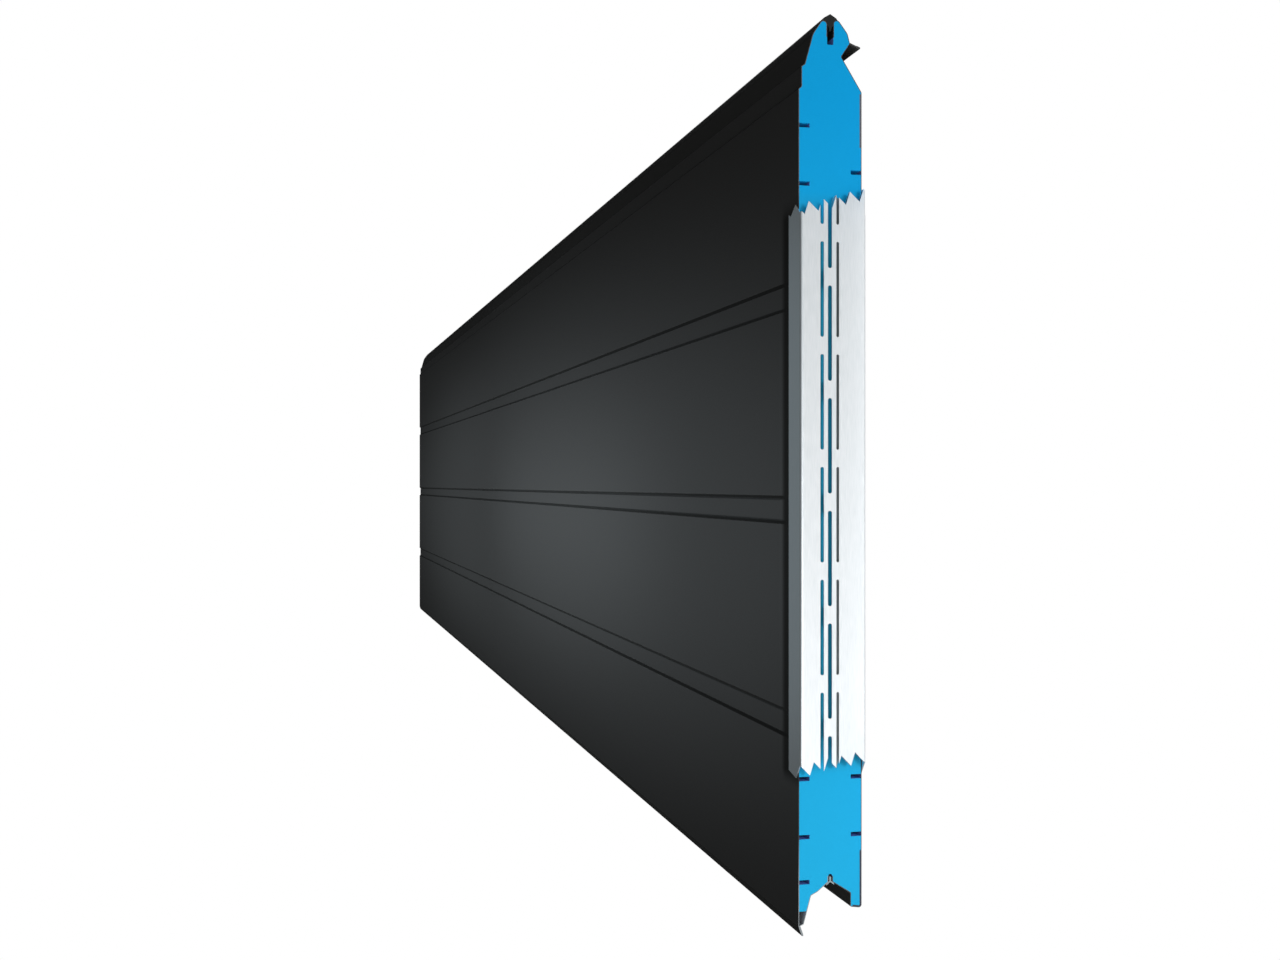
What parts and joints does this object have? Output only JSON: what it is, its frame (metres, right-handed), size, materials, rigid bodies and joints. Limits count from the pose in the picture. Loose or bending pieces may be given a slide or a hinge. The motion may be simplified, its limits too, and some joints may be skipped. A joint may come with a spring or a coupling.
{
  "type": "garage door panel",
  "caption": "Insulated sectional garage door panel with steel skins, foam core, tongue and groove edges and a torn slotted end cap.",
  "frame": {"origin": "centre of the bottom of the bounding box, under the panel as it lies on its inner face", "axes": "+X along the panel towards the capped end, +Y up the panel's height from the groove to the tongue, +Z out through the outer face"},
  "size_m": [2.566, 0.6146, 0.0465],
  "materials": {
    "outer_paint": "satin anthracite coil coating",
    "inner_paint": "satin dark coil coating",
    "foam": "matt cut polyurethane foam, blue",
    "seal_rubber": "matt black extrusion",
    "grey_plastic": "matt grey extrusion",
    "strip_steel": "dark primed steel",
    "cap_steel": "bright zinc coated, fine lengthwise brushing"
  },
  "bodies": {
    "root": {"outer_skin": "outer_paint", "inner_skin": "inner_paint", "foam_core": "foam", "top_seal": "seal_rubber", "thermal_break_strip": "grey_plastic", "top_reinforcement": "strip_steel", "bottom_reinforcement": "strip_steel", "end_cap": "cap_steel"}
  },
  "joints": []
}
